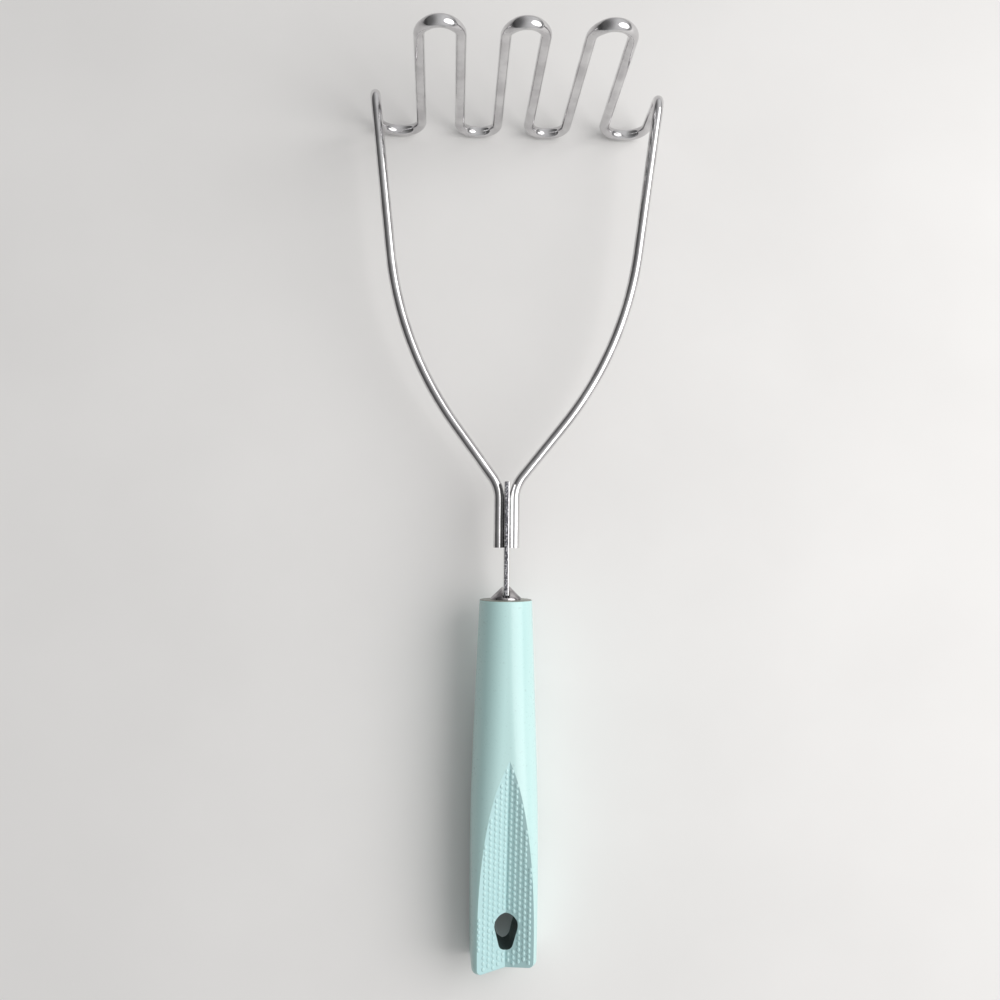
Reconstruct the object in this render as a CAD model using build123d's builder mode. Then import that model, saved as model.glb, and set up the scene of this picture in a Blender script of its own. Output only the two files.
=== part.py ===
from build123d import *

import os
from math import asin, atan2, cos, degrees, hypot, pi, radians, sin, sqrt, tan

# A wire potato masher, lying at rest on its lower wire bends and its handle end.
# Millimetres, +Z up, the shank and handle run along Y with the head towards +Y.

# Wire head and arms
wire_diameter = 3.05
head_width = 87.6
head_depth = 67.4
head_drop = 28.0
head_reach = 150.2
head_pitch = 7.0
head_lean = 2.2
head_roll = 1.2
knee_lean = 1.3
tip_bend_radius = 4.0
leg_low_shares = (0.116, 0.393, 0.678)
leg_high_shares = (0.129, 0.416, 0.684)
bend_share = 0.95
crown_flat_share = 0.34
crown_drop_share = 0.73
arm_foot = 15.2
arm_spread = 33.2
arm_spread_radius = 11.0
arm_knee = 74.0
arm_knee_half = 33.3
arm_knee_radius = 105.0

# Flat shank between the arms, with a narrow tang inside the handle
shank_thickness = 1.5
shank_width = 8.0
shank_top = 34.6
shank_corner = 0.6
shank_shoulder = 1.3
tang_width = 5.0
tang_length = 36.0
tang_point = 4.0
tang_tip_width = 2.4

# Slotted conical cap on the handle's top face
cap_base_diameter = 8.9
cap_mouth_diameter = 2.3
cap_height = 3.7
cap_rim = 0.5
cap_wall = 0.6
slot_clearance = 0.2

# Moulded handle
handle_length = 106.0
handle_width = 19.4
handle_thickness = 19.25
handle_turn = 2.0
end_skew = 7.0
end_rounding = 1.2
top_rounding = 0.4
tang_clearance = 0.05

# Each row: place along the handle, size of the section, roundness of its corners
handle_section_shares = (
    (0.00, 0.795, 0.98),
    (0.14, 0.854, 0.96),
    (0.28, 0.908, 0.92),
    (0.42, 0.958, 0.85),
    (0.56, 0.994, 0.73),
    (0.74, 1.000, 0.53),
    (0.90, 0.982, 0.39),
    (1.00, 0.964, 0.35),
)

# Hollows in the grip's front and back, and the hanging hole in the web between them
web_thickness = 9.9
hollow_slope = 0.45
hollow_start = 45.6
hollow_run = 47.6
hollow_rise = 4.3
hollow_offset = 0.35
hollow_shift = 0.55
hole_length = 10.7
hole_wide_radius = 3.4
hole_narrow_radius = 2.1
hole_to_end = 5.2

overrun = 5.0

# Sizes that follow from the ones above
wire_radius = wire_diameter / 2
half_span = (head_width - wire_diameter) / 2
low_level = wire_radius - head_drop
high_level = low_level + head_depth - wire_diameter
pitch = radians(head_pitch)
roll = radians(head_roll)
outer_bend = bend_share * half_span * (1 - leg_low_shares[2]) / 2
arm_offset = (shank_thickness + wire_diameter) / 2


def section_at(place_share):
    """Half width, half thickness and corner radius of the grip at a share of its length."""
    rows = handle_section_shares
    for (place_a, size_a, round_a), (place_b, size_b, round_b) in zip(rows, rows[1:]):
        if place_a <= place_share <= place_b:
            mix = (place_share - place_a) / (place_b - place_a)
            size = size_a + mix * (size_b - size_a)
            roundness = round_a + mix * (round_b - round_a)
            break
    half_width = handle_width * size / 2
    half_thickness = handle_thickness * size / 2
    return half_width, half_thickness, roundness * min(half_width, half_thickness)


def on_head(x, level):
    """A point of the head, which leans a little forward from the arms' tips, at a level along its legs."""
    return x, head_reach + level * sin(pitch), level * cos(pitch)


def lean_at(level):
    """How far the head's middle lies to the right of the tool's axis at a level along its legs."""
    return head_lean + level * tan(roll)


def lowest_ridge():
    """How far the lower edge of the back hollow lies below the axis at the handle's end."""
    half_width, half_thickness, corner = section_at(1.0)
    across = half_width - corner
    down = half_thickness - corner
    # the hollow's flank z = web / 2 + slope * x meets the corner's circle
    lift = web_thickness / 2 - down
    a = 1 + hollow_slope**2
    b = 2 * (lift * hollow_slope - across)
    c = across**2 + lift**2 - corner**2
    ridge_x = (-b + sqrt(b * b - 4 * a * c)) / (2 * a)
    ridge_z = web_thickness / 2 + hollow_slope * ridge_x
    turn = radians(handle_turn)
    return ridge_z * cos(turn) + ridge_x * sin(turn)


# The tool rests on the lower wire bends and on the handle's end, so it lies at a slope
_, low_reach, low_height = on_head(0, low_level)
_, high_reach, high_height = on_head(0, high_level)
rest_length = low_reach + handle_length - end_rounding
rest_fall = lowest_ridge() - end_rounding + low_height
slope = -atan2(rest_fall, rest_length) + asin((wire_radius - end_rounding) / hypot(rest_fall, rest_length))
lift_at_origin = wire_radius - low_reach * sin(slope) - low_height * cos(slope)
low_ahead = low_reach * cos(slope) - low_height * sin(slope)
high_ahead = high_reach * cos(slope) - high_height * sin(slope)
reach_forward = max(low_ahead, high_ahead) + wire_radius
skew = radians(end_skew)
end_half_width, end_half_thickness, end_corner = section_at(1.0)
end_tilt = sin(skew) * cos(slope)
end_swing = (end_half_width - end_corner) * end_tilt + (end_half_thickness - end_corner) * sin(slope)
end_swing += (end_corner - end_rounding) * hypot(end_tilt, sin(slope))
reach_back = handle_length * cos(slope) + end_swing

middle_of_head = (head_lean + lean_at(low_level + outer_bend)) / 2
tool = Plane(
    origin=(-middle_of_head, (reach_back - reach_forward) / 2, lift_at_origin),
    x_dir=(1, 0, 0),
    z_dir=(0, -sin(slope), cos(slope)),
)
blade = Plane(origin=tool.origin, x_dir=tool.y_dir, z_dir=tool.x_dir)
turn = radians(handle_turn)
grip = Plane(
    origin=tool.origin,
    x_dir=tool.x_dir * cos(turn) - tool.z_dir * sin(turn),
    z_dir=tool.z_dir * cos(turn) + tool.x_dir * sin(turn),
)
down_grip = Plane(origin=grip.origin, x_dir=grip.x_dir, z_dir=-grip.y_dir)
grip_end = Plane(
    origin=grip.origin - grip.y_dir * handle_length,
    x_dir=grip.x_dir * cos(skew) + grip.y_dir * sin(skew),
    z_dir=grip.x_dir * sin(skew) - grip.y_dir * cos(skew),
)
up_shank = Plane(origin=tool.origin, x_dir=tool.x_dir, z_dir=tool.y_dir)
hollow_skew = hollow_shift / (handle_length - hollow_start)
hollow_along = (grip.y_dir + grip.x_dir * hollow_skew).normalized()
hollow_across = (grip.x_dir - grip.y_dir * hollow_skew).normalized()
hollow_end = grip_end.origin + grip.x_dir * hollow_offset
hollow_side = Plane(origin=hollow_end, x_dir=hollow_along, z_dir=hollow_across)
hollow_face = Plane(origin=hollow_end, x_dir=hollow_along, z_dir=grip.z_dir)


def crown(centre, half):
    """Corner points of one upper bend, taller than a half circle, from its right leg to its left."""
    drop = crown_drop_share * half
    flat = crown_flat_share * half
    turn_in = atan2(half - flat, drop)
    shoulder_bend = bend_share * (hypot(half - flat, drop) - flat) / tan(turn_in / 2)
    top_bend = bend_share * flat / tan((pi / 2 - turn_in) / 2)
    return [
        (on_head(centre + half, high_level - drop), lean_at(high_level - drop), shoulder_bend),
        (on_head(centre + flat, high_level), lean_at(high_level), top_bend),
        (on_head(centre - flat, high_level), lean_at(high_level), top_bend),
        (on_head(centre - half, high_level - drop), lean_at(high_level - drop), shoulder_bend),
    ]


def wire_route():
    """Corner points of the bent wire from one arm's foot to the other, with each corner's radius."""
    low = [share * half_span for share in leg_low_shares]
    high = [share * half_span for share in leg_high_shares]
    low_bend = bend_share * (low[1] - low[0]) / 2
    side_crown = crown((high[1] + high[2]) / 2, (high[2] - high[1]) / 2)
    middle_crown = crown(0, high[0])
    half = [
        ((arm_offset, arm_foot, 0), 0, None),
        ((arm_offset, arm_spread, 0), 0, arm_spread_radius),
        ((arm_knee_half, arm_knee, 0), knee_lean, arm_knee_radius),
        ((half_span, head_reach, 0), head_lean, tip_bend_radius),
        (on_head(half_span, low_level), lean_at(low_level), outer_bend),
        (on_head(low[2], low_level), lean_at(low_level), outer_bend),
        *side_crown,
        (on_head(low[1], low_level), lean_at(low_level), low_bend),
        (on_head(low[0], low_level), lean_at(low_level), low_bend),
        *middle_crown[:2],
    ]
    mirrored = [((-x, y, z), lean, radius) for (x, y, z), lean, radius in reversed(half)]
    corners = half + mirrored
    places = [tool.from_local_coords(Vector(x + lean, y, z)) for (x, y, z), lean, _ in corners]
    radii = [radius for _, _, radius in corners[1:-1]]
    return places, radii


# One length of wire: arm, four lower bends, three upper bends, arm
with BuildPart() as masher_wire:
    wire_places, wire_radii = wire_route()
    with BuildLine() as wire_line:
        FilletPolyline(*wire_places, radius=wire_radii)
    with BuildSketch(Plane(origin=wire_line.line @ 0, z_dir=wire_line.line % 0)):
        Circle(wire_radius)
    sweep()

# Sheared flat strip on edge, with square shoulders above the cap and a pointed tang below
with BuildPart() as shank:
    with BuildSketch(blade):
        with BuildLine():
            Polyline(
                (shank_top, -shank_width / 2),
                (shank_top, shank_width / 2),
                (shank_shoulder, shank_width / 2),
                (shank_shoulder, tang_width / 2),
                (tang_point - tang_length, tang_width / 2),
                (-tang_length, tang_tip_width / 2),
                (-tang_length, -tang_tip_width / 2),
                (tang_point - tang_length, -tang_width / 2),
                (shank_shoulder, -tang_width / 2),
                (shank_shoulder, -shank_width / 2),
                close=True,
            )
        make_face()
    extrude(amount=shank_thickness / 2, both=True)
    fillet(shank.edges().filter_by(Axis.X).sort_by(Axis(tool.origin, tool.y_dir))[-2:], shank_corner)

# Thin pressed cone whose slot straddles the shank
with BuildPart() as shank_cap:
    with BuildSketch(blade):
        with BuildLine():
            Polyline(
                (0, cap_base_diameter / 2 - cap_wall),
                (0, cap_base_diameter / 2),
                (cap_rim, cap_base_diameter / 2),
                (cap_height, cap_mouth_diameter / 2),
                (cap_height, cap_mouth_diameter / 2 - cap_wall / 2),
                (cap_rim, cap_base_diameter / 2 - cap_wall - cap_rim),
                close=True,
            )
        make_face()
    revolve(axis=Axis(tool.origin, tool.y_dir))
    with BuildSketch(up_shank.offset(cap_rim)):
        Rectangle(shank_thickness + 2 * slot_clearance, shank_width + 2 * slot_clearance)
    extrude(amount=cap_height, mode=Mode.SUBTRACT)

# The two hollows' outlines along the grip, front and back
def hollow_outline(side):
    """Everything above the valley line of one hollow, seen from the grip's side."""
    bed = side * web_thickness / 2
    brow = bed + side * hollow_rise
    sky = side * (handle_thickness + hollow_slope * handle_width)
    start = handle_length - hollow_start
    valley_end = start - hollow_run
    with BuildSketch(hollow_side) as outline:
        with BuildLine():
            TangentArc((valley_end, bed), (start, brow), tangent=(1, 0))
            Polyline((start, brow), (start, sky), (-overrun, sky), (-overrun, bed), (valley_end, bed))
        make_face()
    return outline.sketch


hollows = {side: hollow_outline(side) for side in (1, -1)}

# Moulded grip: round at the top, a rounded square below, hollowed at front and back
with BuildPart() as handle:
    for place_share, size_share, round_share in handle_section_shares:
        section_plane = down_grip.offset(handle_length * place_share) if place_share < 1 else grip_end
        with BuildSketch(section_plane):
            RectangleRounded(
                handle_width * size_share,
                handle_thickness * size_share,
                round_share * min(handle_width, handle_thickness) * size_share / 2,
            )
    loft()
    for side, outline in hollows.items():
        for hand in (1, -1):
            flank = hollow_across * hand + grip.z_dir * (side * hollow_slope)
            extrude(outline, amount=handle_width, dir=flank, mode=Mode.SUBTRACT)
    with BuildSketch(hollow_face):
        with Locations((hole_to_end + hole_length - hole_wide_radius, 0)):
            Circle(hole_wide_radius)
        with Locations((hole_to_end + hole_narrow_radius, 0)):
            Circle(hole_narrow_radius)
        make_hull()
    extrude(amount=handle_thickness, both=True, mode=Mode.SUBTRACT)
    with BuildSketch(up_shank.offset(-tang_length)):
        Rectangle(shank_thickness + 2 * tang_clearance, tang_width + 2 * tang_clearance)
    extrude(amount=tang_length + overrun, mode=Mode.SUBTRACT)
    top = Axis(tool.origin, tool.y_dir)
    fillet(handle.faces().sort_by(top)[-1].outer_wire().edges(), top_rounding)
    fillet(handle.faces().sort_by(top)[0].outer_wire().edges(), end_rounding)

pieces = {
    "masher_wire": masher_wire,
    "shank": shank,
    "shank_cap": shank_cap,
    "handle": handle,
}

os.makedirs("parts", exist_ok=True)
for name, piece in pieces.items():
    piece.part.label = name
    export_step(piece.part, f"parts/{name}.step")

print(f"tool frame: slope {degrees(slope):.4f} origin {tool.origin.X:.3f} {tool.origin.Y:.3f} {tool.origin.Z:.3f}")
for name, piece in pieces.items():
    box = piece.part.bounding_box()
    print(f"{name}: volume {piece.part.volume:.1f}, X {box.min.X:.2f} to {box.max.X:.2f},"
          f" Y {box.min.Y:.2f} to {box.max.Y:.2f}, Z {box.min.Z:.2f} to {box.max.Z:.2f}")
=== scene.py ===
# %% [markdown]
# A wire potato masher lies on a pale table, seen from above.
# The solid model comes first: it fixes every size and place. This lesson then dresses it:
# plated wire, a sheared steel shank, a pressed cap and a moulded grip with beaded hollows.

# %% Load the solid model
from math import asin, atan2, cos, hypot, pi, radians, sin, sqrt, tan

import bmesh
import bpy
from mathutils import Matrix, Vector


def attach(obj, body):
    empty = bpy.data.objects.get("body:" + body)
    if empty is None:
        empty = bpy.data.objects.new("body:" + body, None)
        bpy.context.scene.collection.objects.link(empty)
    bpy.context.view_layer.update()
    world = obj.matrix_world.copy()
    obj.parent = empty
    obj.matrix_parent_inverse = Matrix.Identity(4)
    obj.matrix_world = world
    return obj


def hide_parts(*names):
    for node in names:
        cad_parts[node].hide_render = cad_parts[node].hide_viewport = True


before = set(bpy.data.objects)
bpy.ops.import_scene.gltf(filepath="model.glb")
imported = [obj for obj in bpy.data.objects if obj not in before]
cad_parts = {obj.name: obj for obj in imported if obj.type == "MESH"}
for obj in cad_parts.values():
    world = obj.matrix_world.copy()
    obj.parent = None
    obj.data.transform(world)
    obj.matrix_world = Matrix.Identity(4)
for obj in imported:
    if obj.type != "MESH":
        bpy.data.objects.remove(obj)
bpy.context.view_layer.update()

# %% [markdown]
# The masher rests on its lower wire bends and on the end of its grip, so it slopes a little.
# Its points could be written on the slope, but they would be hard to read. It is far easier to
# describe it in its own straight frame: millimetres, Y along the tool, Z out of its front. Two
# matrices carry those measures onto the table, one for the wire and the shank, and one for the
# grip, which was pressed on with a slight turn.

# %% Two working frames
mm_per_metre = 1000
slope = radians(4.3003)
grip_turn = radians(2.0)
tool = (Matrix.Translation((-0.00199, -0.022949, 0.016708))
        @ Matrix.Rotation(slope, 4, "X") @ Matrix.Scale(1 / mm_per_metre, 4))
grip = tool @ Matrix.Rotation(grip_turn, 4, "Y")
tool_along = (tool.to_3x3() @ Vector((0, 1, 0))).normalized()
tool_up = (tool.to_3x3() @ Vector((0, 0, 1))).normalized()
print("the shank meets the grip at", tool @ Vector((0, 0, 0)))


# %% [markdown]
# Materials and geometry trees are both made of nodes and links. One small helper adds a node,
# sets its options, and fills each input with a number or with another node's output. The
# others wrap the nodes that come up again and again, so that a tree reads like a recipe.

# %% Helpers that add nodes
def add_node(tree, kind, inputs=None, **options):
    node = tree.nodes.new(kind)
    for name, value in options.items():
        setattr(node, name, value)
    for key, value in (inputs or {}).items():
        if isinstance(value, bpy.types.NodeSocket):
            tree.links.new(value, node.inputs[key])
        else:
            node.inputs[key].default_value = value
    return node


def maths(tree, operation, *values):
    node = add_node(tree, "ShaderNodeMath", dict(enumerate(values)), operation=operation)
    return node.outputs["Value"]


def vector_maths(tree, operation, first, second, output="Vector"):
    node = add_node(tree, "ShaderNodeVectorMath", {0: first, 1: second}, operation=operation)
    return node.outputs[output]


def remap(tree, value, start, stop, low, high, blend="SMOOTHSTEP"):
    node = add_node(tree, "ShaderNodeMapRange", {
        "Value": value, "From Min": start, "From Max": stop, "To Min": low, "To Max": high},
        interpolation_type=blend)
    return node.outputs["Result"]


# %% [markdown]
# Every finish here is painted by noise, never by a picture: a noise texture gives clouds or
# specks, and a colour ramp turns them into tones. The noise reads Object coordinates, which
# are metres on this model, so a scale of 1000 gives grains of about a millimetre.

# %% Helpers that make a material
def new_material(name):
    material = bpy.data.materials.new(name)
    material.use_nodes = True
    material.node_tree.nodes.clear()
    return material, material.node_tree


def noise(tree, scale, detail=3.0, stretch=(1, 1, 1)):
    place = add_node(tree, "ShaderNodeTexCoord")
    mapping = add_node(tree, "ShaderNodeMapping", {
        "Vector": place.outputs["Object"], "Scale": stretch})
    texture = add_node(tree, "ShaderNodeTexNoise", {
        "Vector": mapping.outputs["Vector"], "Scale": scale, "Detail": detail})
    return texture.outputs["Fac"]


def ramp(tree, factor, *stops):
    node = add_node(tree, "ShaderNodeValToRGB", {"Fac": factor})
    while len(node.color_ramp.elements) < len(stops):
        node.color_ramp.elements.new(0.5)
    for element, (position, color) in zip(node.color_ramp.elements, stops):
        element.position = position
        element.color = (*color, 1) if isinstance(color, tuple) else (color, color, color, 1)
    return node.outputs["Color"]


def mixed(tree, factor, first, second, blend="MIX"):
    node = add_node(tree, "ShaderNodeMix", {"Factor": factor, "A": first, "B": second},
                    data_type="RGBA", blend_type=blend)
    return node.outputs["Result"]


def bump(tree, height, strength, distance):
    node = add_node(tree, "ShaderNodeBump", {
        "Strength": strength, "Distance": distance, "Height": height})
    return node.outputs["Normal"]


def finish_material(tree, inputs):
    shader = add_node(tree, "ShaderNodeBsdfPrincipled", inputs)
    add_node(tree, "ShaderNodeOutputMaterial", {"Surface": shader.outputs["BSDF"]})


# %% [markdown]
# The wire is plated steel. Plate mirrors what is around it, so its look comes from low
# roughness and from the lights, and not from painted stripes. Old plate is never perfect:
# faint cloudy patches change the roughness, and a very small bump keeps the reflections from
# looking drawn. The little cap is plated too, but its tint is darker and its clouds are strong
# and dark, which paints dark reflections onto it.

# %% Bright plate
def plated(name, tint, wear_and_reflection_tint, rough_low, rough_high, cloud_scale):
    material, tree = new_material(name)
    clouds = noise(tree, cloud_scale, 4)
    specks = noise(tree, 2200, 2)
    finish_material(tree, {
        "Base Color": ramp(tree, clouds, (0.35, wear_and_reflection_tint), (0.65, tint)),
        "Metallic": 1.0,
        "Roughness": ramp(tree, clouds, (0.3, rough_high), (0.7, rough_low)),
        "Normal": bump(tree, specks, strength=0.12, distance=0.00005)})
    return material


wire_plate = plated("wire_plate", tint=(0.71, 0.705, 0.71), wear_and_reflection_tint=(0.55, 0.54, 0.55),
                    rough_low=0.07, rough_high=0.18, cloud_scale=170)
# The cap's darker tint and strong dark clouds paint dark reflections onto it.
cap_plate = plated("cap_plate", tint=(0.56, 0.54, 0.55), wear_and_reflection_tint=(0.18, 0.17, 0.18),
                   rough_low=0.10, rough_high=0.26, cloud_scale=420)
print("plated materials:", wire_plate.name, cap_plate.name)

# %% [markdown]
# The shank was sheared from plated strip. Its flat sides are bright, while its cut edges are
# torn and speckled. Two materials on chosen faces would do, but they would meet in a hard line
# on the rounded edge. Here the surface's own normal tells the two apart: flats face sideways.

# %% Sheared strip
def sheared_strip():
    material, tree = new_material("sheared_strip")
    place = add_node(tree, "ShaderNodeTexCoord")
    facing = add_node(tree, "ShaderNodeSeparateXYZ", {"Vector": place.outputs["Normal"]})
    sideways = maths(tree, "ABSOLUTE", facing.outputs["X"])
    flat = remap(tree, sideways, 0.12, 0.34, 0.0, 1.0)
    tears = noise(tree, 2600, 3, (1.0, 0.7, 1.0))
    pits = noise(tree, 4800, 2)
    torn = ramp(tree, tears, (0.37, (0.05, 0.05, 0.056)), (0.53, (0.17, 0.168, 0.185)),
                (0.66, (0.62, 0.62, 0.64)))
    bright = ramp(tree, noise(tree, 120, 3), (0.35, 0.62), (0.7, 0.78))
    depth = remap(tree, flat, 0.0, 1.0, 0.8, 0.05, "LINEAR")
    finish_material(tree, {
        "Base Color": mixed(tree, flat, torn, bright),
        "Metallic": 1.0,
        "Roughness": remap(tree, flat, 0.0, 1.0, 0.42, 0.14, "LINEAR"),
        "Normal": bump(tree, maths(tree, "ADD", tears, pits), depth, distance=0.00012)})
    return material


shank_strip = sheared_strip()
print("strip material:", shank_strip.name)

# %% [markdown]
# The grip is pale aqua plastic, glossy from the mould. Long soft clouds shift its tone, and a
# fine grain breaks its shine. The beaded hollows get a slightly darker plastic, which is painted
# shade. One recipe makes all its plastics. The top face round the cap gets a dark tone, which is
# painted shade and reflection with some stain, and the walls of the hanging hole get a darker
# tone still, which is painted shade.

# %% Aqua plastic
def aqua_plastic(name, pale, deep, rough_low, rough_high, grain):
    material, tree = new_material(name)
    tone = ramp(tree, noise(tree, 38, 4, (1, 0.35, 1)), (0.32, deep), (0.68, pale))
    freckles = ramp(tree, noise(tree, 620, 2), (0.22, 0.88), (0.34, 1.0))
    fine = noise(tree, 1400, 3)
    finish_material(tree, {
        "Base Color": mixed(tree, 1.0, tone, freckles, "MULTIPLY"),
        "Roughness": ramp(tree, fine, (0.3, rough_low), (0.7, rough_high)),
        "Normal": bump(tree, fine, strength=grain, distance=0.0001),
        "IOR": 1.5, "Coat Weight": 0.25, "Coat Roughness": 0.12})
    return material


grip_plastic = aqua_plastic("grip_plastic", pale=(0.56, 0.79, 0.775), deep=(0.50, 0.74, 0.725),
                            rough_low=0.26, rough_high=0.38, grain=0.10)
# The hollows' plastic is a little darker than the grip's: painted shade in the recesses.
hollow_plastic = aqua_plastic("hollow_plastic", pale=(0.52, 0.745, 0.745),
                              deep=(0.44, 0.67, 0.685), rough_low=0.32, rough_high=0.46,
                              grain=0.14)
bead_plastic = aqua_plastic("bead_plastic", pale=(0.56, 0.79, 0.79), deep=(0.50, 0.74, 0.745),
                            rough_low=0.24, rough_high=0.36, grain=0.06)
# The top face's dark tone is painted shade and reflection, with some stain.
rim_plastic = aqua_plastic("rim_plastic", pale=(0.31, 0.335, 0.29), deep=(0.19, 0.195, 0.16),
                           rough_low=0.4, rough_high=0.6, grain=0.2)
# The hole's walls are painted dark: painted shade deep inside the hole.
hole_plastic = aqua_plastic("hole_plastic", pale=(0.10, 0.16, 0.155),
                            deep=(0.04, 0.065, 0.062), rough_low=0.5, rough_high=0.7,
                            grain=0.2)
print("plastics:", grip_plastic.name, hollow_plastic.name, bead_plastic.name,
      rim_plastic.name, hole_plastic.name)


# %% [markdown]
# Each piece ends as plain mesh data, smooth except at real corners. The next helpers bake an
# object's modifiers, smooth it up to a chosen angle, and name the body it rides on and the
# solid node that it stands for.

# %% Helpers that make and place a piece
def object_of(name, mesh):
    piece = bpy.data.objects.new(name, mesh)
    bpy.context.collection.objects.link(piece)
    return piece


def baked(piece):
    now = piece.evaluated_get(bpy.context.evaluated_depsgraph_get())
    result = bpy.data.meshes.new_from_object(now)
    piece.modifiers.clear()
    piece.data = result
    return piece


def smooth_to(mesh, degrees):
    mesh.polygons.foreach_set("use_smooth", [True] * len(mesh.polygons))
    mesh.set_sharp_from_angle(angle=radians(degrees))


def stand_for(piece, node):
    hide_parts(node)
    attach(piece, "root")
    print(piece.name, "stands for", node, "with", len(piece.data.polygons), "faces")


# %% [markdown]
# One length of wire makes both arms and the whole head. It could be swept along a drawn curve,
# but a bent wire is straight runs joined by round bends, so its corner points and one radius
# for each corner say everything. The route lists half of the wire, and the other half is its
# mirror image. The head tips forward by seven degrees from the arms' tips, and it leans a
# little to the right towards its top.

# %% The head's measures
wire_radius = 1.525
half_span = 42.275
reach = 150.2
low, high = -26.475, 37.875
legs_low = [4.904, 16.614, 28.662]
legs_high = [5.453, 17.586, 28.916]
pitch, roll, lean_there = radians(7.0), radians(1.2), 2.2


def on_head(x, level, bend):
    place = (x, reach + level * sin(pitch), level * cos(pitch))
    return place, lean_there + level * tan(roll), bend


# %% [markdown]
# Each crown at the top of the head is one round turn in the real wire. Four corners draw it:
# two shoulders and two at the top. Each radius stays just under what its corner has room for.

# %% A crown of the head
crown_drop, crown_flat, bend_share = 0.73, 0.34, 0.95


def crown(centre, half):
    drop, flat = crown_drop * half, crown_flat * half
    turn_in = atan2(half - flat, drop)
    shoulder = bend_share * (hypot(half - flat, drop) - flat) / tan(turn_in / 2)
    top = bend_share * flat / tan((pi / 2 - turn_in) / 2)
    return [on_head(centre + half, high - drop, shoulder), on_head(centre + flat, high, top),
            on_head(centre - flat, high, top), on_head(centre - half, high - drop, shoulder)]


# %% [markdown]
# The route starts at the weld beside the shank, leaves the neck, sweeps out over one wide knee
# to the arm's tip, and folds down and up through the head. Each corner is a point, its shift
# to the side, and its bend radius.

# %% The wire's corners
neck_x, neck_foot, neck_top, neck_bend = 2.275, 15.2, 33.2, 11.0
knee_x, knee_y, knee_lean, knee_bend = 33.3, 74.0, 1.3, 105.0
tip_bend, outer_bend, inner_bend = 4.0, 6.466, 5.562

half_route = [
    ((neck_x, neck_foot, 0), 0, 0),
    ((neck_x, neck_top, 0), 0, neck_bend),
    ((knee_x, knee_y, 0), knee_lean, knee_bend),
    on_head(half_span, 0, tip_bend),
    on_head(half_span, low, outer_bend),
    on_head(legs_low[2], low, outer_bend),
    *crown((legs_high[1] + legs_high[2]) / 2, (legs_high[2] - legs_high[1]) / 2),
    on_head(legs_low[1], low, inner_bend),
    on_head(legs_low[0], low, inner_bend),
    *crown(0, legs_high[0])[:2],
]
route = half_route + [((-x, y, z), lean, bend) for (x, y, z), lean, bend in reversed(half_route)]
corners = [(Vector((x + lean, y, z)), bend) for (x, y, z), lean, bend in route]
print("the wire has", len(corners) - 2, "bends")


# %% [markdown]
# Two geometry trees follow in this lesson, one for the wire and one for the beads. Both have
# named sizes and a material as inputs, and both end in real geometry with that material on it.

# %% Helpers for geometry trees
def new_tree(name, sizes, finish):
    tree = bpy.data.node_groups.new(name, "GeometryNodeTree")
    face = tree.interface
    face.new_socket("Geometry", in_out="INPUT", socket_type="NodeSocketGeometry")
    for size, value in sizes.items():
        socket = face.new_socket(size, in_out="INPUT", socket_type="NodeSocketFloat")
        socket.default_value = value
    face.new_socket(finish, in_out="INPUT", socket_type="NodeSocketMaterial")
    face.new_socket("Geometry", in_out="OUTPUT", socket_type="NodeSocketGeometry")
    return tree, add_node(tree, "NodeGroupInput").outputs


def finish_tree(tree, geometry, material):
    real = add_node(tree, "GeometryNodeRealizeInstances", {"Geometry": geometry})
    made = add_node(tree, "GeometryNodeSetMaterial", {
        "Geometry": real.outputs["Geometry"], "Material": material})
    add_node(tree, "NodeGroupOutput", {"Geometry": made.outputs["Geometry"]})
    return tree


def attribute(tree, name, kind):
    node = add_node(tree, "GeometryNodeInputNamedAttribute", {"Name": name}, data_type=kind)
    return node.outputs["Attribute"]


def run_tree(piece, tree, **values):
    modifier = piece.modifiers.new(tree.name, "NODES")
    modifier.node_group = tree
    for item in tree.interface.items_tree:
        key = item.name.lower().replace(" ", "_")
        if item.in_out == "INPUT" and key in values:
            modifier[item.identifier] = values[key]
    return baked(piece)


# %% [markdown]
# Geometry Nodes turn the corners into wire. Fillet Curve rounds each corner by its own radius,
# and Curve to Mesh carries a circle along the result. Wire that is bent tight over a former
# spreads a little at the crown of the bend, and a last Set Position gives that spread: it
# moves each point of the skin away from the wire's middle line, which was stored beforehand.

# %% The wire's tree
head_top, head_foot, spread_depth = high * cos(pitch), low * cos(pitch), 6
bend_points, wire_sides = 18, 36


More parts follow.
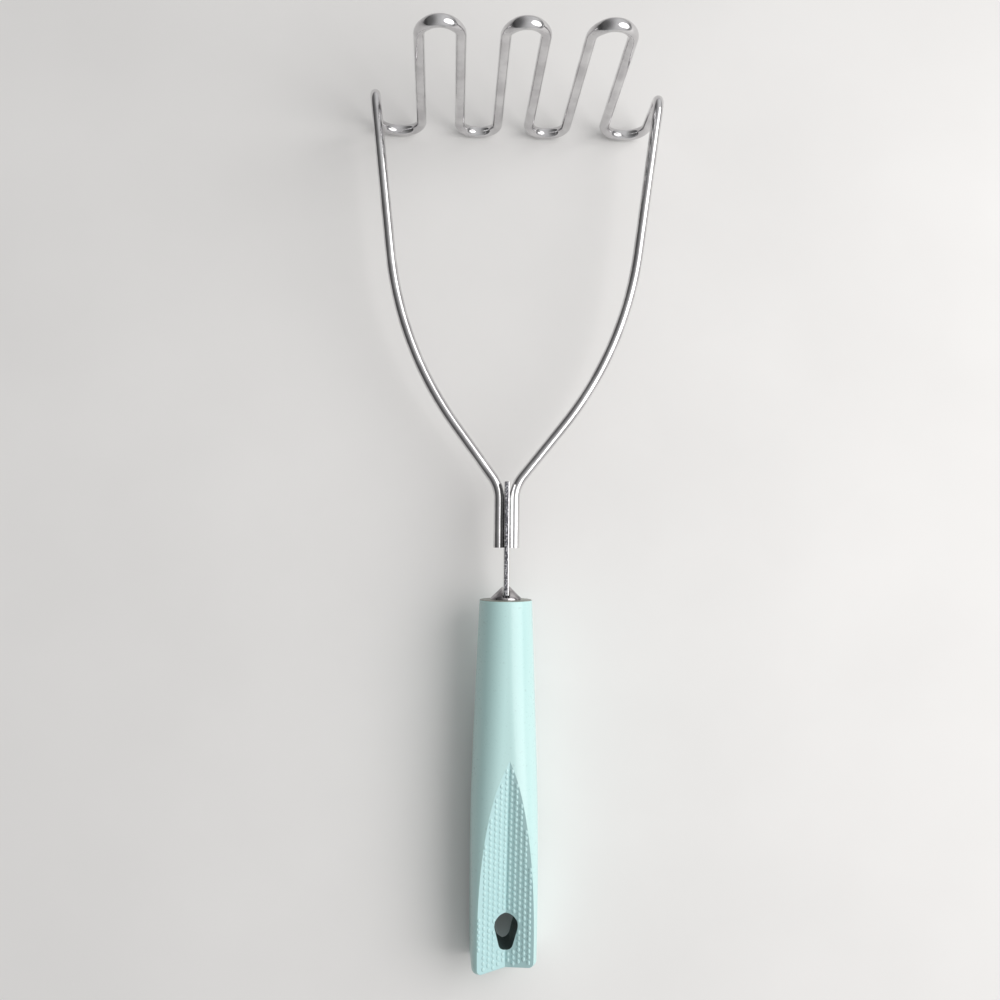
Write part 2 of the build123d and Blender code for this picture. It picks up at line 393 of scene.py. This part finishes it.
def wire_tree():
    sizes = {"Wire radius": 0.0015, "Top spread": 0.2, "Low spread": 0.1}
    tree, given = new_tree("Bent wire", sizes, "Plate")
    line = add_node(tree, "GeometryNodeMeshToCurve", {"Mesh": given["Geometry"]})
    rounded = add_node(tree, "GeometryNodeFilletCurve", {
        "Curve": line.outputs["Curve"], "Count": bend_points,
        "Radius": attribute(tree, "bend", "FLOAT"), "Limit Radius": False}, mode="POLY")
    here = add_node(tree, "GeometryNodeInputPosition").outputs["Position"]
    remember = add_node(tree, "GeometryNodeStoreNamedAttribute", {
        "Geometry": rounded.outputs["Curve"], "Name": "middle", "Value": here},
        data_type="FLOAT_VECTOR", domain="POINT")
    circle = add_node(tree, "GeometryNodeCurvePrimitiveCircle", {
        "Resolution": wire_sides, "Radius": given["Wire radius"]})
    tube = add_node(tree, "GeometryNodeCurveToMesh", {
        "Curve": remember.outputs["Geometry"], "Profile Curve": circle.outputs["Curve"],
        "Fill Caps": True})
    middle = attribute(tree, "middle", "FLOAT_VECTOR")
    from_grip = vector_maths(tree, "SUBTRACT", middle, tuple(tool.translation))
    height = vector_maths(tree, "DOT_PRODUCT", from_grip, tuple(tool_up), "Value")
    top = remap(tree, height, (head_top - spread_depth) / mm_per_metre,
                head_top / mm_per_metre, 0.0, given["Top spread"])
    bottom = remap(tree, height, (head_foot + spread_depth) / mm_per_metre,
                   head_foot / mm_per_metre, 0.0, given["Low spread"])
    offset = vector_maths(tree, "SUBTRACT", here, middle)
    along = vector_maths(tree, "DOT_PRODUCT", offset, tuple(tool_along), "Value")
    inward = maths(tree, "SUBTRACT", along, given["Wire radius"])
    amount = maths(tree, "MULTIPLY", inward, maths(tree, "ADD", top, bottom))
    push = add_node(tree, "ShaderNodeVectorMath", {0: tuple(tool_along), "Scale": amount},
                    operation="SCALE")
    swollen = add_node(tree, "GeometryNodeSetPosition", {
        "Geometry": tube.outputs["Mesh"], "Offset": push.outputs["Vector"]})
    return finish_tree(tree, swollen.outputs["Geometry"], given["Plate"])


# %% Bend the wire
path = bpy.data.meshes.new("wire_path")
path.from_pydata([tool @ point for point, _ in corners],
                 [(i, i + 1) for i in range(len(corners) - 1)], [])
bend_values = path.attributes.new("bend", "FLOAT", "POINT").data
bend_values.foreach_set("value", [bend / mm_per_metre for _, bend in corners])
masher_wire = run_tree(object_of("masher_wire_bent", path), wire_tree(),
                       wire_radius=wire_radius / mm_per_metre, top_spread=0.22,
                       low_spread=0.10, plate=wire_plate)
smooth_to(masher_wire.data, 50)
stand_for(masher_wire, "masher_wire")


# %% [markdown]
# The shank, the grip and the cutters that hollow it are all stacks of matching outlines. The
# next helper joins such a stack into a closed skin whose faces point outwards. Primitives and
# loop cuts would give the same shapes, but a list of outlines keeps every size in sight.

# %% Helpers for stacked outlines
def stacked(outlines):
    work = bmesh.new()
    loops = [[work.verts.new(point) for point in points] for points in outlines]
    count = len(loops[0])
    for upper, lower in zip(loops, loops[1:]):
        for i in range(count):
            j = (i + 1) % count
            work.faces.new((upper[i], upper[j], lower[j], lower[i]))
    work.faces.new(loops[0])
    work.faces.new(loops[-1])
    bmesh.ops.remove_doubles(work, verts=work.verts, dist=1e-5)
    bmesh.ops.recalc_face_normals(work, faces=work.faces)
    return work


def mesh_of(work, name, *materials):
    mesh = bpy.data.meshes.new(name)
    work.to_mesh(mesh)
    work.free()
    for material in materials:
        mesh.materials.append(material)
    return mesh


# %% [markdown]
# The shank is a strip on edge, with shoulders that stand on the cap and a pointed tang that
# goes into the grip. Shearing rolls one face's corners over and leaves the other's sharp, so
# the front right edge gets a wide soft bevel, which catches the light as a bright line, and
# every other edge a narrow one. A Bevel modifier that reads a weight for each edge does both.

# %% Cut the shank
strip_half_thick, strip_half, strip_top, shoulder = 0.75, 4.0, 34.6, 1.3
tang_half, tang_narrows, tang_end, tang_tip = 2.5, -32.0, -36.0, 1.2
front_right, elsewhere = 1.0, 0.28


def strip_mesh():
    outline = [(strip_top, -strip_half), (strip_top, strip_half), (shoulder, strip_half),
               (shoulder, tang_half), (tang_narrows, tang_half), (tang_end, tang_tip),
               (tang_end, -tang_tip), (tang_narrows, -tang_half), (shoulder, -tang_half),
               (shoulder, -strip_half)]
    work = stacked([[(x, y, z) for y, z in outline]
                    for x in (-strip_half_thick, strip_half_thick)])
    weight = work.edges.layers.float.new("bevel_weight_edge")
    for edge in work.edges:
        on_right = all(v.co.x > 0 for v in edge.verts)
        in_front = all(v.co.z > strip_half - 0.1 for v in edge.verts)
        edge[weight] = front_right if on_right and in_front else elsewhere
    mesh = mesh_of(work, "shank_strip", shank_strip)
    mesh.transform(tool)
    return mesh


shank_piece = object_of("shank_sheared", strip_mesh())
rounding = shank_piece.modifiers.new("rolled edges", "BEVEL")
rounding.limit_method = "WEIGHT"
rounding.width = 0.00042
rounding.segments = 4
baked(shank_piece)
smooth_to(shank_piece.data, 40)
stand_for(shank_piece, "shank")

# %% [markdown]
# The small cap is a cone pressed from thin sheet. A spun profile with a slot cut into it would
# do, but the solid model has that true shape already. Its triangles are loose, so a copy is
# merged, and smooth shading then mirrors the light as a turned surface does.

# %% Smooth the cap
cap_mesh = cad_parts["shank_cap"].data.copy()
merge = bmesh.new()
merge.from_mesh(cap_mesh)
bmesh.ops.remove_doubles(merge, verts=merge.verts, dist=1e-6)
merge.to_mesh(cap_mesh)
merge.free()
cap_mesh.materials.clear()
cap_mesh.materials.append(cap_plate)
cap_piece = object_of("shank_cap_pressed", cap_mesh)
smooth_to(cap_mesh, 35)
stand_for(cap_piece, "shank_cap")

# %% [markdown]
# The grip is round near the shank and a rounded square further down. A subdivided cage could
# be pulled to that shape by eye. A table is more exact: it gives the size and roundness of the
# section at a few places, and a smooth curve through the table fills in the rest.

# %% The grip's sections
grip_length, grip_width, grip_depth = 106.0, 19.4, 19.25
sections = (  # place from the top, size, roundness
    (0.00, 0.795, 0.98), (0.14, 0.854, 0.96), (0.28, 0.908, 0.92), (0.42, 0.958, 0.85),
    (0.56, 0.994, 0.73), (0.74, 1.000, 0.53), (0.90, 0.982, 0.39), (1.00, 0.964, 0.35))


def through_table(place, column):
    rows = [sections[0]] + list(sections) + [sections[-1]]
    last = len(rows) - 3
    k = next(i for i in range(1, last + 1) if place <= rows[i + 1][0] or i == last)
    (p0, v0), (p1, v1), (p2, v2), (p3, v3) = [(row[0], row[column]) for row in rows[k - 1:k + 3]]
    span = p2 - p1
    m1 = (v2 - v0) / (p2 - p0) * span
    m2 = (v3 - v1) / (p3 - p1) * span
    t = (place - p1) / span
    return ((2 * t**3 - 3 * t**2 + 1) * v1 + (t**3 - 2 * t**2 + t) * m1
            + (3 * t**2 - 2 * t**3) * v2 + (t**3 - t**2) * m2)


def half_sizes(y):
    place = min(1.0, max(0.0, -y / grip_length))
    size = through_table(place, 1)
    half_x, half_z = grip_width * size / 2, grip_depth * size / 2
    return half_x, half_z, through_table(place, 2) * min(half_x, half_z)


print("half sizes and corner radius at the end:", half_sizes(-grip_length))

# %% [markdown]
# The grip's end was moulded a little askew, so the last tenth of its length tilts. One ring of
# points is four quarter turns joined by four straight sides, shrunk where an end is rounded.

# %% One ring of the grip
skew_slope, skew_start, skew_run = tan(radians(7.0)), 0.9, 0.1
least_corner = 0.05
quarters = ((1, 1), (-1, 1), (-1, -1), (1, -1))


def skew(y):
    return skew_slope * max(0.0, (-y / grip_length - skew_start) / skew_run)


def ring(y, inset, per_arc=20, per_side=10):
    half_x, half_z, corner = half_sizes(y)
    core_x, core_z = half_x - corner, half_z - corner
    corner = max(least_corner, corner - inset)

    def on_corner(quarter, angle):
        sx, sz = quarters[quarter % 4]
        return Vector((sx * core_x + corner * cos(angle), y, sz * core_z + corner * sin(angle)))

    points = []
    for quarter in range(4):
        points += [on_corner(quarter, (quarter + i / per_arc) * pi / 2)
                   for i in range(per_arc + 1)]
        end, goal = points[-1], on_corner(quarter + 1, (quarter + 1) * pi / 2)
        points += [end.lerp(goal, i / per_side) for i in range(1, per_side)]
    for point in points:
        point.y += point.x * skew(y)
    return points


# %% [markdown]
# Rings follow one another down the grip, closer together where its ends are rounded by a
# quarter turn. The faces on top get the rim plastic, whose dark tone is painted shade and
# reflection, with some stain.

# %% Skin the grip
top_round, end_round, turns, steps = 0.4, 1.7, 9, 170
rim_index, rim_depth = 3, 0.2


def quarter_turn(i, count):
    return 1 - sin(i / count * pi / 2), 1 - cos(i / count * pi / 2)


def grip_skin():
    rings = []
    for i in range(turns, 0, -1):
        fall, inset = quarter_turn(i, turns)
        rings.append(ring(-top_round * fall, top_round * inset))
    straight = grip_length - top_round - end_round
    rings += [ring(-top_round - straight * i / steps, 0) for i in range(steps + 1)]
    for i in range(1, turns + 1):
        fall, inset = quarter_turn(i, turns)
        rings.append(ring(-grip_length + end_round * fall, end_round * inset))
    mesh = mesh_of(stacked(rings), "grip_skin",
                   grip_plastic, hollow_plastic, hole_plastic, rim_plastic)
    # The faces on top take the rim plastic: painted shade and reflection, with some stain.
    for face in mesh.polygons:
        if face.center.y > -rim_depth:
            face.material_index = rim_index
    return mesh


grip_piece = object_of("handle_moulded", grip_skin())
print("grip skin:", len(grip_piece.data.polygons), "faces before the hollows")

# %% [markdown]
# Front and back have a long hollow with two flat flanks that meet in a valley. The valley
# starts at the surface, dives along a shallow arc and then runs level to the end, where it
# rounds over a small lip. It also runs slightly askew, because the grip is turned.

# %% The hollow's valley
web_half, flank_slope = 4.95, 0.45
hollow_start, hollow_run, hollow_rise = 45.6, 47.6, 4.3
valley_radius = (hollow_run**2 + hollow_rise**2) / (2 * hollow_rise)
valley_end, valley_shift = 0.35, 0.55
lip = 0.5


def valley_x(y):
    return valley_end + valley_shift * (y + grip_length) / (grip_length - hollow_start)


def valley(y):
    beyond = max(0.0, y + hollow_start + hollow_run)
    level = web_half + valley_radius - sqrt(valley_radius**2 - beyond**2)
    left = max(0.0, min(lip, y + grip_length))
    return level - (lip - sqrt(lip**2 - (lip - left) ** 2))


print("valley depth at the end:", valley(-grip_length), "radius", valley_radius)

# %% [markdown]
# The grip's skin could be modelled with the hollow in it, but its ridges run across the faces.
# A cutter block is simpler: it follows the valley line, and a Boolean takes it away.

# %% The hollow's cutter
cut_wide, cut_tall, cut_early, cut_late = 12.0, 16.0, 4, 3.0
cut_step, cut_rows, lip_turns = 0.8, 79, 6


def cutter(side):
    ys = [-hollow_start + cut_early - cut_step * i for i in range(cut_rows)]
    ys = [y for y in ys if y > -grip_length + lip]
    ys += [-grip_length + lip * quarter_turn(i, lip_turns)[0] for i in range(lip_turns + 1)]
    ys += [-grip_length - cut_late]
    outlines = []
    for y in ys:
        z = valley(y)
        z_side = z + flank_slope * cut_wide
        shape = ((-cut_wide, z_side), (0, z), (cut_wide, z_side), (cut_wide, cut_tall),
                 (-cut_wide, cut_tall))
        outlines.append([(px + valley_x(y), y + px * skew(y), side * pz) for px, pz in shape])
    return object_of("hollow_cutter", mesh_of(stacked(outlines), "hollow_cutter", hollow_plastic))


# %% [markdown]
# The hanging hole is egg-shaped: a wide round end towards the shank, a narrow one towards the
# grip's end, and straight sides between them. Its axis follows the valley.

# %% The hole's cutter
hole_wide, hole_narrow, hole_gap = 3.4, 2.1, 5.2
hole_foot, hole_length = 5.2, 10.7
hole_y = hole_foot + hole_length - hole_wide - grip_length
hole_x = valley_x(hole_y)
hole_lean = valley_shift / (grip_length - hollow_start)
hole_reach, arc_steps = 15, 32


def hole_cutter():
    edge = asin((hole_wide - hole_narrow) / hole_gap)
    arcs = ((-edge, pi + edge, hole_wide, 0),
            (pi + edge, 2 * pi - edge, hole_narrow, hole_gap))
    outline = []
    for first, last, radius, drop in arcs:
        for i in range(arc_steps + 1):
            angle = first + i / arc_steps * (last - first)
            x, y = radius * cos(angle), radius * sin(angle) - drop
            outline.append((hole_x + x + hole_lean * y, hole_y + y - hole_lean * x))
    work = stacked([[(x, y, z) for x, y in outline] for z in (-hole_reach, hole_reach)])
    return object_of("hole_cutter", mesh_of(work, "hole_cutter", hole_plastic))


# %% [markdown]
# Three Boolean modifiers take the cutters away. Their material mode is Transfer, so each cut
# surface keeps the cutter's own plastic: hollows get theirs, and so do the hole's walls. Both
# are darker than the grip, and that darkness is painted shade.

# %% Cut the hollows and the hanging hole
cutters = [cutter(1), cutter(-1), hole_cutter()]
for block in cutters:
    cut = grip_piece.modifiers.new(block.name, "BOOLEAN")
    cut.object = block
    cut.operation = "DIFFERENCE"
    cut.solver = "EXACT"
    cut.material_mode = "TRANSFER"
baked(grip_piece)
for block in cutters:
    bpy.data.objects.remove(block)
grip_piece.data.transform(grip)
smooth_to(grip_piece.data, 24)
stand_for(grip_piece, "handle")
print("materials in the grip:", [m.name for m in grip_piece.data.materials])

# %% [markdown]
# Rows of low beads fill both flanks of each hollow, packed like eggs in a tray so that thumb
# and fingers don't slip. A bump texture would be lighter, but it has no real shape and is lost
# in the exported mesh, so these are true beads. A short calculation finds a seat for each one,
# inside the ridges and clear of the hole.

# %% Where the flanks end
bead_pitch, bead_columns, bead_rows = 1.67, 7, 40
first_row, bead_margin, end_margin = 1.2, 0.45, 1.1
ridge_step = 0.02


def ridge(y, hand):
    half_x, half_z, corner = half_sizes(y)
    half_x -= hand * valley_x(y)
    x = 0.0
    while x < half_x - ridge_step:
        beyond = max(0.0, x - (half_x - corner))
        surface = half_z - corner + sqrt(max(0.0, corner**2 - beyond**2))
        if valley(y) + flank_slope * x > surface:
            break
        x += ridge_step
    return x


def near_hole(x, y):
    drop = min(hole_gap, max(0.0, hole_y - y))
    hole_here = hole_wide + (hole_narrow - hole_wide) * drop / hole_gap
    return hypot(x, y - hole_y + drop) < hole_here + bead_margin


# %% The beads' seats
def bead_seats():
    seats, normals = [], []
    for column in range(bead_columns):
        x = bead_pitch * sqrt(3) / 2 * (column + 0.5)
        for row in range(bead_rows):
            y = -hollow_start - first_row - bead_pitch * (row + (0.5 if column % 2 else 0.0))
            if near_hole(x, y):
                continue
            for side in (1, -1):
                for hand in (1, -1):
                    last_y = -grip_length + end_margin + hand * x * skew(y)
                    if x > ridge(y, hand) - bead_margin or y < last_y:
                        continue
                    seat = (valley_x(y) + hand * x, y, side * (valley(y) + flank_slope * x))
                    facing = grip.to_3x3() @ Vector((-hand * flank_slope, 0, side))
                    seats.append(grip @ Vector(seat))
                    normals.append(facing.normalized())
    return seats, normals


seats, seat_normals = bead_seats()
seat_mesh = bpy.data.meshes.new("bead_seats")
seat_mesh.from_pydata(seats, [], [])
facings = seat_mesh.attributes.new("facing", "FLOAT_VECTOR", "POINT").data
facings.foreach_set("vector", [c for n in seat_normals for c in n])
print("bead seats:", len(seats))


# %% [markdown]
# Geometry Nodes put the same flattened bead on every seat, turned to face away from its flank.
# Each bead is a little longer along the grip than across it, so the columns read as strings,
# and a fixed seed varies their size slightly, as worn tooling does.

# %% The bead tree
def bead_tree():
    sizes = {"Bead radius": 0.0006, "Bead height": 0.0003, "Stretch": 1.3, "Size change": 0.05}
    tree, given = new_tree("Bead rows", sizes, "Plastic")
    ball = add_node(tree, "GeometryNodeMeshUVSphere", {
        "Segments": 12, "Rings": 7, "Radius": given["Bead radius"]})
    flatness = maths(tree, "DIVIDE", given["Bead height"], given["Bead radius"])
    size = add_node(tree, "ShaderNodeCombineXYZ", {
        "X": 1.0, "Y": given["Stretch"], "Z": flatness})
    bead = add_node(tree, "GeometryNodeTransform", {
        "Geometry": ball.outputs["Mesh"], "Scale": size.outputs["Vector"]})
    turn = add_node(tree, "FunctionNodeAlignRotationToVector", {
        "Vector": attribute(tree, "facing", "FLOAT_VECTOR")}, axis="Z")
    smallest = maths(tree, "SUBTRACT", 1.0, given["Size change"])
    change = add_node(tree, "FunctionNodeRandomValue", {
        "Min": smallest, "Max": 1.0, "Seed": 7}, data_type="FLOAT")
    rows = add_node(tree, "GeometryNodeInstanceOnPoints", {
        "Points": given["Geometry"], "Instance": bead.outputs["Geometry"],
        "Rotation": turn.outputs["Rotation"],
        "Scale": next(output for output in change.outputs if output.enabled)})
    return finish_tree(tree, rows.outputs["Instances"], given["Plastic"])


# %% Set the beads
beads = run_tree(object_of("handle_beads", seat_mesh), bead_tree(), bead_radius=0.00054,
                 bead_height=0.00029, stretch=1.42, size_change=0.06, plastic=bead_plastic)
smooth_to(beads.data, 80)
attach(beads, "root")
print("beads:", len(beads.data.polygons), "faces")

# %% [markdown]
# The camera looks almost straight down from above the tool, a little to the left of it. It
# could be placed by eye, but its place, turn and lens come from fitting the known sizes.

# %% Camera
camera_data = bpy.data.cameras.new("camera")
camera_data.lens = 40.837
camera_data.sensor_width = 36.0
camera = bpy.data.objects.new("camera", camera_data)
camera.location = (-0.01587, -0.02303, 0.35174)
camera.rotation_euler = (radians(4.9991), radians(-2.0805), radians(0.3855))
bpy.context.collection.objects.link(camera)
bpy.context.scene.camera = camera
print("camera at", tuple(round(c, 3) for c in camera.location))

# %% [markdown]
# The table is plain, pale and almost without gloss, so that the object keeps a soft shadow and
# nothing else draws the eye. It is a single large face: its edge stays far away in any view.

# %% Table
table_material, table_tree = new_material("pale_table")
finish_material(table_tree, {
    "Base Color": ramp(table_tree, noise(table_tree, 14, 4),
                       (0.3, (0.80, 0.79, 0.78)), (0.7, (0.84, 0.83, 0.82))),
    "Roughness": 0.9, "Specular IOR Level": 0.15})
far = 6
table_mesh = bpy.data.meshes.new("table")
table_mesh.from_pydata([(-far, -far, 0), (far, -far, 0), (far, far, 0), (-far, far, 0)],
                       [], [(0, 1, 2, 3)])
table_mesh.materials.append(table_material)
table = object_of("table", table_mesh)

# %% [markdown]
# One broad soft lamp stands on the right. A disc gives a round highlight on wire and plastic,
# and its size keeps the shadows soft.

# %% Lamp
lamp_place, lamp_aim = (0.43, 0.02, 0.46), (0, 0, 0.02)
lamp_data = bpy.data.lights.new("key", "AREA")
lamp_data.shape = "DISK"
lamp_data.size = 0.66
lamp_data.energy = 2.95
lamp_data.color = (1.0, 0.99, 0.98)
lamp = bpy.data.objects.new("key", lamp_data)
lamp.location = lamp_place
lamp.rotation_euler = (Vector(lamp_aim) - Vector(lamp_place)).to_track_quat("-Z", "Y").to_euler()
bpy.context.collection.objects.link(lamp)

# %% [markdown]
# Bright wire shows little but the sky, so the sky is painted for it. It is pale overhead and
# towards the tool's two ends, with a darker band low at the sides, and that band draws the
# dark lines along the wire. It is also darker on the left, so round shapes keep a shady side.

# %% Sky
end_glow = 0.8
world = bpy.data.worlds.new("studio")
world.use_nodes = True
sky = world.node_tree
sky.nodes.clear()
direction = add_node(sky, "ShaderNodeTexCoord")
way = add_node(sky, "ShaderNodeSeparateXYZ", {"Vector": direction.outputs["Generated"]}).outputs
to_ends = maths(sky, "MULTIPLY", way["Y"], way["Y"])
lift = maths(sky, "MULTIPLY_ADD", to_ends, end_glow, way["Z"])
background = add_node(sky, "ShaderNodeBackground", {
    "Color": ramp(sky, lift, (0.0, 0.50), (0.22, 0.24), (0.50, 0.58), (0.85, 0.77)),
    "Strength": remap(sky, way["X"], -0.7, 0.3, 0.22, 0.98)})
add_node(sky, "ShaderNodeOutputWorld", {"Surface": background.outputs["Background"]})
bpy.context.scene.world = world
bpy.context.scene.view_settings.view_transform = "Standard"
